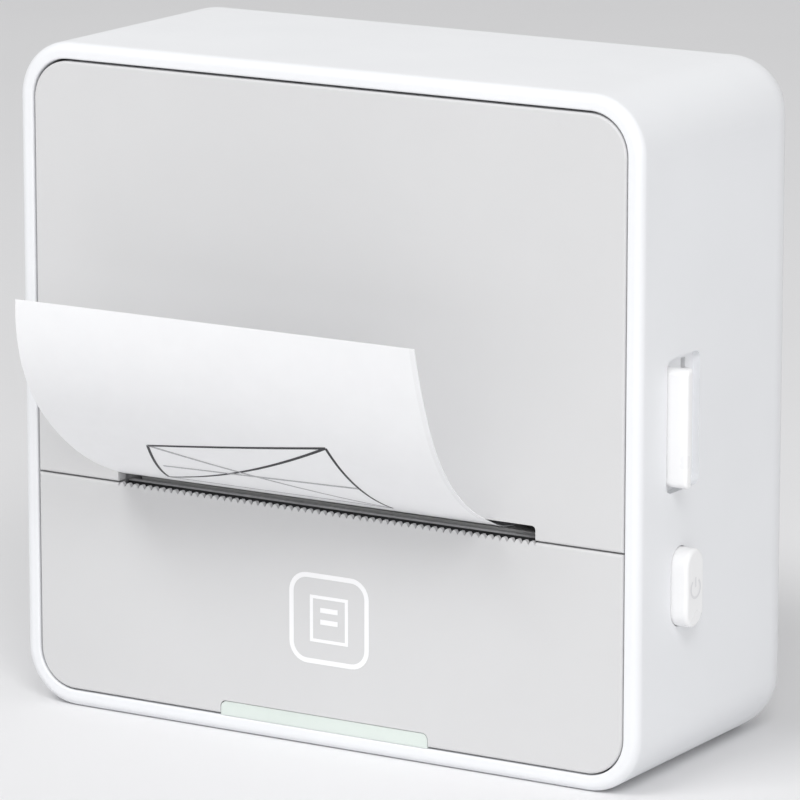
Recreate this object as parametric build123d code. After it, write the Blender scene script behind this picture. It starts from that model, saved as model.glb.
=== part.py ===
from build123d import *
import math
import os

# Portable thermal printer that stands on its narrow bottom face.
# Millimetres. X to the right seen from the front, Y into the depth, Z up.
# The origin is the middle of the bottom face of the case.

# Case: one tub, open at the front, strongly rounded at the back
case_width = 86.4
case_depth = 40.0
case_height = 82.7
case_corner = 7.0
case_back_edge = 6.8
case_front_edge = 1.1
case_inner_edge = 0.25
wall = 2.0

# Front panels inside the rim of the case
panel_side_gap = 0.2
panel_top_gap = 0.3
panel_recess = 0.1
panel_thickness = 1.6
panel_edge_round = 0.3
panel_back_round = 0.4
panel_boss_inset = 7.0
panel_boss_bottom = 9.5
panel_boss_drop = 4.0
panel_boss_radius = 2.2
seam_height = 29.2
seam_gap = 0.2

# Paper slot and tear teeth along the seam
slot_side_room = 13.9
slot_height = 1.9
slot_corner = 0.5
tooth_pitch = 0.965
tooth_height = 0.5
tooth_depth = 0.6
tooth_tip = 0.3
tooth_ledge_drop = 0.9

# Light bar in the bottom edge of the lower panel
light_width = 29.2
light_height = 1.8
light_corner = 0.8
light_depth = 3.4
light_fit = 0.08
light_flange = 1.2
light_board_gap = 1.2
light_board_width = 34.0
light_board_top = 10.5
light_board_thickness = 1.0
led_width = 2.8
led_height = 1.4
led_thickness = 0.9
led_bottom = 2.4
light_floor_gap = 0.04
led_pitch = 9.0

# Cover hinge: pins across the case just under its top edge
hinge_setback = 2.0
hinge_drop = 6.0
hinge_pin_radius = 0.8
hinge_boss_radius = 1.8
hinge_boss_length = 4.6
hinge_boss_end = 0.6
hinge_pin_seat = 1.3
hinge_pin_play = 0.05
running_clearance = 0.05
overlap = 0.1

# Platen roller carried by the cover
platen_radius = 4.0
platen_end_gap = 0.5
platen_setback = 6.0
platen_rise = 4.5
platen_round = 0.3
shaft_radius = 1.5
bush_radius = 2.6
bush_flange_radius = 3.2
bush_flange = 0.5
shaft_end = 0.6
shaft_chamfer = 0.2
arm_thickness = 2.0
arm_clearance = 0.3
arm_rise = 18.8
arm_rim = 0.7
arm_bevel = 1.4

# Frame screwed to the back of the cover
frame_side_gap = 3.0
frame_rise = 10.2
frame_drop = 10.9
frame_thickness = 1.2
frame_rib = 1.2
frame_window_rise = 6.1
frame_window_drop = 4.0
frame_fit = 0.05
cover_screw_reach = 2.6
cover_screw_inset = 3.5
cover_screw_bite = 0.9
lug_height = 7.8
lug_slope = 3.7
lug_reach = 3.3
lug_thickness = 2.0

# Paper
paper_left_margin = 0.2
paper_right_margin = 5.6
paper_thickness = 0.1
paper_gap = 0.06
roll_front_gap = 5.4
roll_back_gap = 2.1
roll_lift = 3.55
roll_core_radius = 6.0
roll_core_wall = 1.0
web_end_angle = -89.0
strip_lead = 0.8
strip_left_exit_angle = 21.4
strip_left_straight = 2.1
strip_left_bend_radius = 38.4
strip_left_bend_angle = 47.4
strip_left_tail_radius = 19.4
strip_left_tail_angle = 94.1
strip_right_exit_angle = 24.6
strip_right_straight = 2.2
strip_right_bend_radius = 24.5
strip_right_bend_angle = 65.6
strip_right_tail_radius = 61.6
strip_right_tail_angle = 76.4

# Chassis: the moulded frame with the roll bay and the print head seat
bay_margin = 0.1
bay_clearance = 0.3
bay_wall = 1.2
bay_ramp_end = 1.2
bay_arc_end = 95.0
deck_drop = 7.8
deck_thickness = 1.5
deck_reach = 2.4
chassis_front_gap = 3.1
chassis_wall = 1.2
chassis_wall_bottom = 6.5
cheek_setback = 4.2
cheek_top_rise = 2.8
cheek_top_half = 6.5
cheek_back_gap = 0.4
cheek_shoulder = 6.7
cheek_heel = 12.5
cheek_ramp_gap = 0.3
notch_back_gap = 0.6
notch_low_gap = 0.8
notch_high_gap = 1.0
hinge_room_depth = 6.9
hinge_room_drop = 7.9
hinge_room_gap = 0.4
boss_radius = 2.6
boss_floor = 1.0
pilot_radius = 0.88
wing_length = 6.5
wing_back_gap = 1.6
wing_thickness = 2.0
wing_margin = 1.6
upper_screw_drop = 7.5
case_screw_reach = 3.8
bottom_screw_reach = 2.3
bottom_screw_setback = 6.6
bottom_boss_drop = 8.0

# Print head
head_gap = 0.4
ceramic_thickness = 0.65
ceramic_inset = 0.1
sink_thickness = 2.0
sink_end_gap = 0.8
head_front_setback = 3.8
head_depth = 10.8
ceramic_depth = 7.2
head_pivot_radius = 0.8
head_pivot_inset = 0.9
head_spring_spread = 18.0
head_spring_setback = 0.6
head_spring_wire = 0.22
head_spring_coil = 1.5
head_spring_turns = 5
head_spring_gap = 0.3
head_spring_pin = 1.0
head_spring_pin_height = 1.4
ribbon_width = 24.0
ribbon_thickness = 0.25
ribbon_bend = 0.5
ribbon_drop = 0.3
ribbon_gap = 0.7
ribbon_end_gap = 0.1
lip_setback = 2.2
lip_thickness = 1.3
lip_height = 1.9
lip_drop = 0.1
lip_round = 0.624
lip_leg_overlap = 1.3

# Drive: motor pinion, compound idler and platen gear, all of one module
gear_module = 0.4
pressure_angle = 25.0
backlash = 0.08
addendum = 0.8
dedendum = 1.05
platen_teeth = 18
idler_small_teeth = 24
idler_big_teeth = 40
pinion_teeth = 12
platen_gear_width = 1.8
idler_big_width = 1.5
gear_spacing = 0.3
gear_hub_overlap = 0.1
pinion_overhang = 0.2
motor_setback = 18.0
motor_drop = 5.2
motor_radius = 7.5
motor_length = 14.0
motor_end_round = 0.8
motor_collar_radius = 3.0
motor_collar = 0.6
motor_flange = 0.8
motor_ear_reach = 2.2
motor_ear_width = 4.6
motor_ear_turn = 35.0
motor_shaft_radius = 0.75
motor_shaft_end = 0.6
motor_shaft_depth = 5.5
bearing_gap = 0.25
motor_screw_length = 1.6
idler_axle_radius = 0.9
idler_hub_radius = 2.2
axle_end_gap = 0.2
axle_clip = 0.5
axle_clip_rim = 0.8
axle_rivet = 0.4
axle_rivet_rim = 0.6
gear_plate_thickness = 0.8
gear_plate_rim = 0.5
standoff_radius = 1.9
standoff_first_turn = -93.7
standoff_second_turn = -55.1
standoff_screw_length = 3.4

# Release slide in the right side
release_travel = 0.85
pocket_depth = 0.9
pocket_front = 6.3
pocket_width = 7.9
pocket_bottom = 35.2
pocket_top = 51.2
pocket_corner = 1.1
release_bar_gap = 0.15
release_bar_rise = 0.9
release_bar_thickness = 1.3
release_bar_length = 14.15
release_bar_proud = 2.6
release_bar_corner = 0.85
release_bar_round = 0.4
release_foot_width = 6.4
release_foot_drop = 0.95
release_foot_thickness = 0.6
release_foot_corner = 0.8
release_foot_lift = 0.05
release_stem_width = 0.9
release_stem_setback = 11.7
release_stem_fit = 0.1
release_slot_room = 0.5
stem_seat_fit = 0.03
release_stem_start = 1.0
release_stem_end = 0.1
slide_gap = 0.15
slide_thickness = 1.55
slide_front = 3.2
slide_back = 3.6
slide_below = 1.5
slide_above = 3.0
slide_stop_gap = 0.4
ledge_reach = 1.9
ledge_front = 2.0
ledge_thickness = 1.0
wedge_start = 1.0
wedge_rise = 3.4
wedge_back = 6.0
wedge_drop = 2.4
wedge_gap = 0.1
release_spring_length = 6.0
release_spring_wire = 0.2
release_spring_coil = 1.2
release_spring_turns = 6
release_spring_inset = 1.9
rail_thickness = 1.2
rail_reach = 5.6
lower_rail_start = 0.8
upper_rail_start = 1.6
rail_end_gap = 0.3

# Power button in the right side
power_front = 7.75
power_width = 4.2
power_bottom = 18.9
power_height = 9.5
power_proud = 2.1
power_round = 0.5
power_fit = 0.1
power_travel = 0.4
power_flange = 0.6
power_flange_thickness = 0.7
power_flange_gap = 0.1

# Electronics
board_bottom = 13.0
board_thickness = 1.2
board_left_room = 1.2
board_right_room = 10.2
board_front_room = 11.6
board_back_room = 2.6
board_post_radius = 2.0
board_post_inset = 3.2
board_post_shift = 1.0
board_corner = 1.0
switch_board_setback = 3.2
switch_board_thickness = 1.0
switch_board_width = 11.4
switch_board_bottom = 16.0
switch_board_top = 31.0
switch_board_fit = 0.1
switch_rib_width = 1.2
switch_rib_overlap = 0.6
switch_rib_back = 1.8
switch_rib_bottom = 14.5
switch_rib_top = 33.0
switch_size = 5.2
switch_thickness = 1.7
switch_floor = 0.5
switch_chamfer = 0.4
plunger_radius = 1.35
plunger_end_gap = 0.1
battery_left_room = 13.2
battery_right_room = 23.2
battery_front_room = 6.2
battery_back_room = 5.0
battery_thickness = 8.2
battery_gap = 0.1
battery_round = 1.8
processor_x = -2.0
processor_size = 8.0
driver_x = 10.5
driver_size = 5.0
charger_x = -14.5
charger_size = 4.5
coil_x = -21.8
coil_size = 4.4
coil_height = 2.6
chip_height = 1.0
head_plug_width = 28.0
head_plug_height = 2.0
plug_depth = 3.4
plug_inset = 0.6
battery_plug_width = 6.5
battery_plug_inset = 4.5
battery_plug_height = 3.4
motor_plug_width = 8.0
motor_plug_inset = 10.0
motor_plug_height = 2.6
socket_width = 9.0
socket_height = 3.2
socket_depth = 7.6
socket_offset = 2.0
socket_fit = 0.25
socket_proud = 1.0
socket_metal = 0.3
socket_back = 1.0
tongue_inset = 1.2
tongue_setback = 1.0
tongue_thickness = 0.7

# Screws
screw_radius = 0.85
screw_head_radius = 1.8
screw_head_height = 1.1
screw_sink = 0.1
screw_clearance = 0.15
screw_head_clearance = 0.2
screw_head_round = 0.35
recess_length = 1.9
recess_width = 0.45
recess_depth = 0.55
case_screw_length = 6.8
board_screw_bite = 4.0
panel_screw_bite = 1.9

front_y = -case_depth / 2
back_y = case_depth / 2
inner_x = case_width / 2 - wall
inner_top = case_height - wall
inner_back = back_y - wall
panel_front = front_y + panel_recess
panel_back = panel_front + panel_thickness
panel_half = inner_x - panel_side_gap
panel_bottom = wall + panel_side_gap
panel_top = inner_top - panel_top_gap
panel_corner = case_corner - wall - panel_side_gap
hinge_y = panel_front + hinge_setback
hinge_z = panel_top - hinge_drop
platen_y = panel_front + platen_setback
platen_z = seam_height + platen_rise
slot_width = case_width - 2 * slot_side_room
cheek_inner = slot_width / 2 + bay_margin
cheek_outer = cheek_inner + bay_wall
platen_half = cheek_inner - platen_end_gap
arm_inner = cheek_outer + arm_clearance
arm_outer = arm_inner + arm_thickness
chassis_front = front_y + chassis_front_gap
paper_left = -slot_width / 2 + paper_left_margin
paper_right = slot_width / 2 - paper_right_margin
paper_width = paper_right - paper_left
roll_radius = (inner_back - roll_back_gap - panel_back - roll_front_gap) / 2
roll_y = panel_back + roll_front_gap + roll_radius
roll_z = (seam_height + inner_top) / 2 + roll_lift
upper_screw_height = inner_top - upper_screw_drop
case_screw_spread = cheek_outer + case_screw_reach
bottom_screw_spread = cheek_outer + bottom_screw_reach
board_left = -inner_x + board_left_room
board_right = inner_x - board_right_room
board_front = front_y + board_front_room
board_back = inner_back - board_back_room
board_middle = (board_front + board_back) / 2
socket_middle = board_middle + socket_offset
board_top = board_bottom + board_thickness
screw_seat = screw_head_height + screw_sink
switch_board_x = inner_x - switch_board_setback
frame_half = panel_half - frame_side_gap
frame_bottom = seam_height + frame_rise
frame_top = panel_top - frame_drop
arm_top = seam_height + arm_rise
head_front = front_y + head_front_setback
head_top = platen_z - platen_radius - head_gap
deck_top = head_top - deck_drop
sink_half = cheek_inner - sink_end_gap
sink_top = head_top - ceramic_thickness
sink_bottom = sink_top - sink_thickness
head_pivot_y = head_front + head_depth - head_pivot_inset
head_pivot_z = sink_bottom + sink_thickness / 2
deck_back = head_pivot_y + deck_reach
stem_y = front_y + release_stem_setback
spring_y = platen_y + head_spring_setback
motor_y = platen_y + motor_setback
motor_z = platen_z - motor_drop


def block(x, y, z):
    """Box between two corners, given as three pairs of limits."""
    size = (x[1] - x[0], y[1] - y[0], z[1] - z[0])
    return Pos(x[0], y[0], z[0]) * Box(*size, align=(Align.MIN, Align.MIN, Align.MIN))


def x_rod(radius, x, y, z):
    """Round bar along X between two limits."""
    return Pos((x[0] + x[1]) / 2, y, z) * Rot(0, 90, 0) * Cylinder(radius, x[1] - x[0])


def y_rod(radius, x, y, z):
    """Round bar along Y between two limits."""
    return Pos(x, (y[0] + y[1]) / 2, z) * Rot(90, 0, 0) * Cylinder(radius, y[1] - y[0])


def z_rod(radius, x, y, z):
    """Round bar along Z between two limits."""
    return Pos(x, y, (z[0] + z[1]) / 2) * Cylinder(radius, z[1] - z[0])


def front_plate(width, z, corner, y):
    """Plate with rounded corners, parallel to the front, between two depths."""
    middle = Plane(origin=(0, y[1], (z[0] + z[1]) / 2), x_dir=(1, 0, 0), z_dir=(0, -1, 0))
    return extrude(middle * RectangleRounded(width, z[1] - z[0], corner), y[1] - y[0])


def side_plate(points, x):
    """Plate parallel to the sides, from an outline of (y, z) points."""
    outline = Plane(origin=(x[0], 0, 0), x_dir=(0, 1, 0), z_dir=(1, 0, 0)) * Polygon(*points, align=None)
    return extrude(outline, x[1] - x[0], dir=(1, 0, 0))


def side_stadium(y, z, corner, x):
    """Plate parallel to the sides with rounded corners, between two limits of x."""
    middle = Plane(origin=(x[0], (y[0] + y[1]) / 2, (z[0] + z[1]) / 2), x_dir=(0, 1, 0), z_dir=(1, 0, 0))
    return extrude(middle * RectangleRounded(y[1] - y[0], z[1] - z[0], corner), x[1] - x[0])


def edges_at_y(part, y):
    """Edges that lie in the plane at one depth."""
    return part.edges().filter_by_position(Axis.Y, y - 0.001, y + 0.001)


def screw(x, y, z, direction, length):
    """Pan-head screw with a cross recess, head at the given point, shank along direction."""
    head = Pos(0, 0, -screw_head_height / 2) * Cylinder(screw_head_radius, screw_head_height)
    head = fillet(head.edges().sort_by(Axis.Z)[0], screw_head_round)
    shank = Pos(0, 0, length / 2) * Cylinder(screw_radius, length)
    bar = Box(recess_length, recess_width, 2 * recess_depth)
    cross = Pos(0, 0, -screw_head_height) * (bar + Rot(0, 0, 90) * bar)
    place = Plane(origin=(x, y, z), z_dir=direction)
    return place * (head + shank - cross)


def spring(wire_radius, coil_radius, turns, height):
    """Compression spring standing on the origin, with its axis along Z."""
    rise = height - 2 * wire_radius
    path = Pos(0, 0, wire_radius) * Helix(rise / turns, rise, coil_radius)
    section = Plane(origin=path @ 0, z_dir=path % 0) * Circle(wire_radius)
    return sweep(section, path=path, is_frenet=True)


def gear_outline(teeth):
    """Involute tooth outline with one tooth on the local X axis."""
    pitch_radius = gear_module * teeth / 2
    angle = math.radians(pressure_angle)
    base_radius = pitch_radius * math.cos(angle)
    tip_radius = pitch_radius + addendum * gear_module
    root_radius = pitch_radius - dedendum * gear_module
    half_tooth = (math.pi * gear_module / 2 - backlash) / (2 * pitch_radius)
    start = max(base_radius, root_radius)
    flank = []
    for step in range(4):
        radius = start + (tip_radius - start) * step / 3
        roll = math.acos(min(1.0, base_radius / radius))
        spread = half_tooth + math.tan(angle) - angle - math.tan(roll) + roll
        flank.append((radius, spread))
    profile = [(root_radius, flank[0][1])] + flank
    points = []
    for tooth in range(teeth):
        middle = 2 * math.pi * tooth / teeth
        rising = [(radius, middle - spread) for radius, spread in profile]
        falling = [(radius, middle + spread) for radius, spread in reversed(profile)]
        points += rising + falling
    return Polygon(*[(r * math.cos(a), r * math.sin(a)) for r, a in points], align=None)


def gear(teeth, x, y, z, turn, bore):
    """Spur gear on an axis along X, with one tooth turned to the given angle."""
    place = Plane(origin=(x[0], y, z), x_dir=(0, 1, 0), z_dir=(1, 0, 0))
    wheel = extrude(place * Rot(0, 0, turn) * gear_outline(teeth), x[1] - x[0], dir=(1, 0, 0))
    return wheel - x_rod(bore, (x[0] - 1, x[1] + 1), y, z)


def make_outer_shell():
    body = front_plate(case_width, (0, case_height), case_corner, (front_y, back_y))
    body = fillet(edges_at_y(body, back_y), case_back_edge)
    body = fillet(edges_at_y(body, front_y), case_front_edge)
    cavity = front_plate(2 * inner_x, (wall, inner_top), case_corner - wall, (front_y - 1, inner_back))
    cavity = fillet(edges_at_y(cavity, inner_back), case_back_edge - wall)
    shell = body - cavity
    rim = [e for e in edges_at_y(shell, front_y) if abs(e.center().X) < inner_x + 0.1]
    rim = [e for e in rim if wall - 0.1 < e.center().Z < inner_top + 0.1]
    shell = fillet(rim, case_inner_edge)
    for side in (-1, 1):
        seat = sorted((side * inner_x, side * (inner_x + hinge_pin_seat)))
        shell -= x_rod(hinge_pin_radius + running_clearance, seat, hinge_y, hinge_z)
        for z in (upper_screw_height, roll_z):
            x = side * case_screw_spread
            shell -= y_rod(screw_radius + screw_clearance, x, (inner_back - 1, back_y + 1), z)
            shell -= y_rod(screw_head_radius + screw_head_clearance, x, (back_y - screw_seat, back_y + 1), z)
        x = side * bottom_screw_spread
        y = front_y + bottom_screw_setback
        shell -= z_rod(screw_radius + screw_clearance, x, y, (-1, wall + 1))
        shell -= z_rod(screw_head_radius + screw_head_clearance, x, y, (-1, screw_seat))
    for x, y in board_posts():
        shell += z_rod(board_post_radius, x, y, (wall - 0.2, board_bottom))
        shell -= z_rod(pilot_radius, x, y, (wall, board_bottom + 1))
    shell -= socket_hole()
    shell -= release_pocket()
    shell -= power_hole()
    for y in switch_board_ribs():
        x = (switch_board_x - switch_rib_back, inner_x + 0.2)
        shell += block(x, y, (switch_rib_bottom, switch_rib_top))
    shell -= switch_board_space(switch_board_fit)
    return shell


def board_posts():
    """Places of the four posts that carry the main board."""
    inset = board_post_inset
    return [(x, y) for x in (board_left + inset + board_post_shift, board_right - inset)
            for y in (board_front + inset, board_back - inset)]


def socket_hole():
    y = (socket_middle - socket_width / 2 - socket_fit, socket_middle + socket_width / 2 + socket_fit)
    z = (board_top - socket_fit, board_top + socket_height + socket_fit)
    outer = (-case_width / 2 - 1, -inner_x + 0.1)
    return side_stadium(y, z, (z[1] - z[0]) / 2 - 0.01, outer)


def release_pocket():
    y = (front_y + pocket_front, front_y + pocket_front + pocket_width)
    pocket = side_stadium(y, (pocket_bottom, pocket_top), pocket_corner,
                          (case_width / 2 - pocket_depth, case_width / 2 + 1))
    half = release_stem_width / 2 + release_stem_fit
    bottom, top = release_stem_limits()
    slot = block((inner_x - 0.1, case_width / 2), (stem_y - half, stem_y + half),
                 (bottom - release_stem_fit, top + release_travel + release_slot_room))
    return pocket + slot


def release_stem_limits():
    """Lower and upper end of the stem that joins the release button to its slide."""
    bottom = pocket_bottom + release_bar_rise
    foot_top = bottom + release_bar_length - release_foot_drop
    return bottom + release_stem_start, foot_top - release_stem_end


def power_outline():
    y = (front_y + power_front, front_y + power_front + power_width)
    return y, (power_bottom, power_bottom + power_height)


def power_hole():
    y, z = power_outline()
    y = (y[0] - power_fit, y[1] + power_fit)
    z = (z[0] - power_fit, z[1] + power_fit)
    return side_stadium(y, z, (y[1] - y[0]) / 2 - 0.01, (inner_x - 0.1, case_width / 2 + 1))


def switch_board_ribs():
    """Depth limits of the two ribs that hold the switch board."""
    middle = switch_centre()[0]
    near = switch_board_width / 2 - switch_rib_overlap
    far = near + switch_rib_width
    return [(middle - far, middle - near), (middle + near, middle + far)]


def switch_board_space(gap):
    """Room of the switch board with a gap all round, open at its top."""
    middle = switch_centre()[0]
    half = switch_board_width / 2 + gap
    x = (switch_board_x - switch_board_thickness - gap, switch_board_x + gap)
    return block(x, (middle - half, middle + half), (switch_board_bottom - gap, switch_board_top))


def panel_part(z):
    """The stretch of the front plate between two heights, its front edges rounded."""
    plate = front_plate(2 * panel_half, (panel_bottom, panel_top), panel_corner, (panel_front, panel_back))
    part = plate & block((-case_width, case_width), (front_y, 0), z)
    return fillet(edges_at_y(part, panel_front), panel_edge_round)


def make_upper_cover():
    cover = panel_part((seam_height + seam_gap / 2, case_height))
    top = [e for e in edges_at_y(cover, panel_back) if e.center().Z > hinge_z + 1]
    cover = fillet(top, panel_back_round)
    notch_z = (seam_height - slot_height, seam_height + slot_height)
    cover -= front_plate(slot_width, notch_z, slot_corner, (front_y - 1, panel_back + 1))
    for side in (-1, 1):
        boss_x = sorted((side * (panel_half - hinge_boss_length), side * panel_half))
        boss = x_rod(hinge_boss_radius, boss_x, hinge_y, hinge_z)
        web = block(boss_x, (panel_back - 0.2, hinge_y), (hinge_z - hinge_boss_radius, hinge_z))
        bore_x = sorted((side * (panel_half - hinge_boss_length + hinge_boss_end), side * (panel_half + 1)))
        cover += boss + web
        cover -= x_rod(hinge_pin_radius + running_clearance, bore_x, hinge_y, hinge_z)
    for x, z in cover_screw_places():
        cover -= y_rod(pilot_radius, x, (panel_back - cover_screw_bite - 0.1, panel_back + 0.1), z)
    return cover


def make_lower_panel():
    panel = panel_part((wall, seam_height - seam_gap / 2))
    half = slot_width / 2
    root = seam_height - tooth_height
    panel -= block((-half, half), (front_y - 1, panel_back + 1), (root, seam_height))
    behind = (panel_front + tooth_depth, panel_back + 1)
    panel -= block((-half, half), behind, (root - tooth_ledge_drop, seam_height))
    teeth = round(slot_width / tooth_pitch)
    pitch = slot_width / teeth
    first = (pitch - slot_width) / 2
    tip = tooth_tip / 2
    tooth = Plane(origin=(0, panel_front + tooth_depth, root - 0.1), x_dir=(1, 0, 0), z_dir=(0, -1, 0))
    outline = Polygon((-pitch / 2, 0), (pitch / 2, 0), (pitch / 2, 0.1), (tip, tooth_height + 0.1),
                      (-tip, tooth_height + 0.1), (-pitch / 2, 0.1), align=None)
    single = extrude(tooth * outline, tooth_depth, dir=(0, -1, 0))
    row = [Pos(first + i * pitch, 0, 0) * single for i in range(teeth)]
    panel = panel.fuse(*row)
    panel -= light_outline(light_fit, (front_y - 1, panel_back + 1))
    for x, z in panel_boss_places():
        panel += y_rod(panel_boss_radius, x, (panel_back - 0.2, chassis_front), z)
        panel -= y_rod(pilot_radius, x, (chassis_front - panel_screw_bite - 0.1, chassis_front + 0.1), z)
    return panel


def panel_boss_places():
    """Screw bosses behind the lower panel."""
    heights = (panel_boss_bottom, deck_top - panel_boss_drop)
    spread = bottom_screw_spread - panel_boss_inset
    return [(x, z) for x in (-spread, spread) for z in heights]


def light_outline(gap, y):
    """The light bar with a gap round it, rounded at the top, down to the case floor."""
    half = light_width / 2 + gap
    top = wall + light_height + gap
    plate = front_plate(2 * half, (wall - light_height, top), light_corner, y)
    return plate & block((-half, half), (y[0] - 1, y[1] + 1), (wall - 0.01, top + 1))


def make_light_bar():
    back = panel_front + light_depth
    floor = wall + light_floor_gap
    bar = light_outline(0, (panel_front, back))
    bar &= block((-case_width, case_width), (front_y, 0), (floor, case_height))
    half = light_width / 2 + light_flange
    top = wall + light_height + light_flange
    return bar + block((-half, half), (panel_back + frame_fit, back), (floor, top))


def make_light_board():
    back = panel_front + light_depth + light_board_gap
    half = light_board_width / 2
    return block((-half, half), (back, back + light_board_thickness), (led_bottom - 0.1, light_board_top))


def make_light_leds():
    back = panel_front + light_depth + light_board_gap
    half = led_width / 2
    z = (led_bottom, led_bottom + led_height)
    y = (back - led_thickness, back)
    return Compound([block((x - half, x + half), y, z) for x in (-led_pitch, 0, led_pitch)])


def make_hinge_pins():
    pins = []
    for side in (-1, 1):
        inner = side * (panel_half - hinge_boss_length + hinge_boss_end + hinge_pin_play)
        outer = side * (inner_x + hinge_pin_seat - hinge_pin_play)
        pins.append(x_rod(hinge_pin_radius, sorted((inner, outer)), hinge_y, hinge_z))
    return Compound(pins)


def cover_screw_places():
    """Screws that hold the inner frame to the cover."""
    heights = (frame_bottom + cover_screw_inset, frame_top - cover_screw_inset)
    spread = arm_outer + cover_screw_reach
    return [(x, z) for x in (-spread, spread) for z in heights]


def arm_outline():
    """Side arm of the cover frame, as (y, z) points."""
    back = panel_back + frame_fit
    reach = bush_radius + arm_rim
    low = platen_z - reach
    deep = platen_y + reach + arm_rim
    return [(back, arm_top), (back, low + arm_bevel), (back + arm_bevel, low), (deep - arm_rim, low),
            (deep, low + arm_rim), (deep, platen_z + reach), (back + lug_reach, arm_top)]


def lug_corner():
    """Lowest point of the sloping face of the lug on the right arm, as (y, z)."""
    return platen_y + lug_reach, platen_z + lug_height


def make_cover_frame():
    back = panel_back + frame_fit
    face = back + frame_thickness
    half = frame_half
    frame = block((-half, half), (back, face), (frame_bottom, frame_top))
    frame -= block((-platen_half, platen_half), (back - 1, face + 1),
                   (frame_bottom + frame_window_rise, frame_top - frame_window_drop))
    frame += block((-half, half), (face - 0.2, face + frame_rib), (frame_top - frame_rib, frame_top))
    for side in (-1, 1):
        frame += side_plate(arm_outline(), sorted((side * arm_inner, side * arm_outer)))
        frame += block(sorted((side * arm_inner, side * half)), (face - 0.2, face + frame_rib),
                       (frame_bottom, frame_bottom + frame_rib))
    y, z = lug_corner()
    top = z + lug_slope + lug_thickness
    end = y + lug_slope
    lug = [(y - lug_thickness, z), (y, z), (end, z + lug_slope), (end, top), (y - lug_reach, top)]
    frame += side_plate(lug, (arm_inner, arm_outer))
    frame -= x_rod(bush_radius, (-half, half), platen_y, platen_z)
    for x, z in cover_screw_places():
        frame -= y_rod(screw_radius + screw_clearance, x, (back - 0.1, face + frame_rib), z)
    return frame


def make_cover_screws():
    seat = panel_back + frame_fit + frame_thickness
    length = frame_fit + frame_thickness + cover_screw_bite
    return Compound([screw(x, seat, z, (0, -1, 0), length) for x, z in cover_screw_places()])


def make_platen_bushes():
    bushes = []
    for side in (-1, 1):
        body = x_rod(bush_radius, sorted((side * arm_inner, side * arm_outer)), platen_y, platen_z)
        outer = side * (arm_outer + bush_flange)
        flange = x_rod(bush_flange_radius, sorted((side * arm_outer, outer)), platen_y, platen_z)
        bore = x_rod(shaft_radius + running_clearance, (-case_width, case_width), platen_y, platen_z)
        bushes.append(body + flange - bore)
    return Compound(bushes)


def gear_layout():
    """Centre of the idler, and the angles from platen to idler and idler to motor."""
    near = gear_module * (platen_teeth + idler_small_teeth) / 2
    far = gear_module * (idler_big_teeth + pinion_teeth) / 2
    dy, dz = motor_y - platen_y, motor_z - platen_z
    span = math.hypot(dy, dz)
    along = (near ** 2 - far ** 2 + span ** 2) / (2 * span)
    aside = math.sqrt(near ** 2 - along ** 2)
    idler_y = platen_y + (dy * along + dz * aside) / span
    idler_z = platen_z + (dz * along - dy * aside) / span
    to_idler = math.degrees(math.atan2(idler_z - platen_z, idler_y - platen_y))
    to_motor = math.degrees(math.atan2(motor_z - idler_z, motor_y - idler_y))
    return idler_y, idler_z, to_idler, to_motor


def platen_gear_limits():
    right = -(arm_outer + bush_flange + gear_spacing)
    return right - platen_gear_width, right


def idler_big_limits():
    right = platen_gear_limits()[0] - gear_spacing
    return right - idler_big_width, right


def make_platen_shaft():
    left = platen_gear_limits()[0]
    right = arm_outer + bush_flange + shaft_end
    return chamfer(x_rod(shaft_radius, (left, right), platen_y, platen_z).edges(), shaft_chamfer)


def make_platen_rubber():
    sleeve = x_rod(platen_radius, (-platen_half, platen_half), platen_y, platen_z)
    sleeve = fillet(sleeve.edges(), platen_round)
    return sleeve - x_rod(shaft_radius, (-platen_half - 1, platen_half + 1), platen_y, platen_z)


def make_platen_gear():
    return gear(platen_teeth, platen_gear_limits(), platen_y, platen_z, gear_layout()[2], shaft_radius)


def make_idler_gear():
    y, z, to_idler, to_motor = gear_layout()
    bore = idler_axle_radius + running_clearance
    turn = to_idler + 180 + 180 / idler_small_teeth
    small = gear(idler_small_teeth, platen_gear_limits(), y, z, turn, bore)
    big = gear(idler_big_teeth, idler_big_limits(), y, z, to_motor, bore)
    hub_x = (idler_big_limits()[1] - gear_hub_overlap, platen_gear_limits()[0] + gear_hub_overlap)
    return small + big + x_rod(idler_hub_radius, hub_x, y, z) - x_rod(bore, hub_x, y, z)


def gear_plate_limits():
    right = platen_gear_limits()[1] + gear_spacing + gear_plate_thickness
    return right - gear_plate_thickness, right


def make_idler_axle():
    y, z = gear_layout()[:2]
    left = idler_big_limits()[0] - axle_end_gap - axle_clip
    plate = gear_plate_limits()[1]
    axle = x_rod(idler_axle_radius, (left, plate + axle_rivet), y, z)
    clip = x_rod(idler_axle_radius + axle_clip_rim, (left, left + axle_clip), y, z)
    rivet = x_rod(idler_axle_radius + axle_rivet_rim, (plate, plate + axle_rivet), y, z)
    return axle + clip + rivet


def gear_plate_screw_places():
    """Standoffs on the left cheek that carry the gear plate, under the roll, as (y, z)."""
    turns = (math.radians(standoff_first_turn), math.radians(standoff_second_turn))
    return [(roll_y + roll_radius * math.cos(a), roll_z + roll_radius * math.sin(a)) for a in turns]


def motor_screw_places():
    """Screws through the ears of the motor flange, as (y, z)."""
    reach = motor_radius + motor_ear_reach
    turn = math.radians(motor_ear_turn)
    return [(motor_y + s * reach * math.cos(turn), motor_z + s * reach * math.sin(turn)) for s in (-1, 1)]


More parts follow.
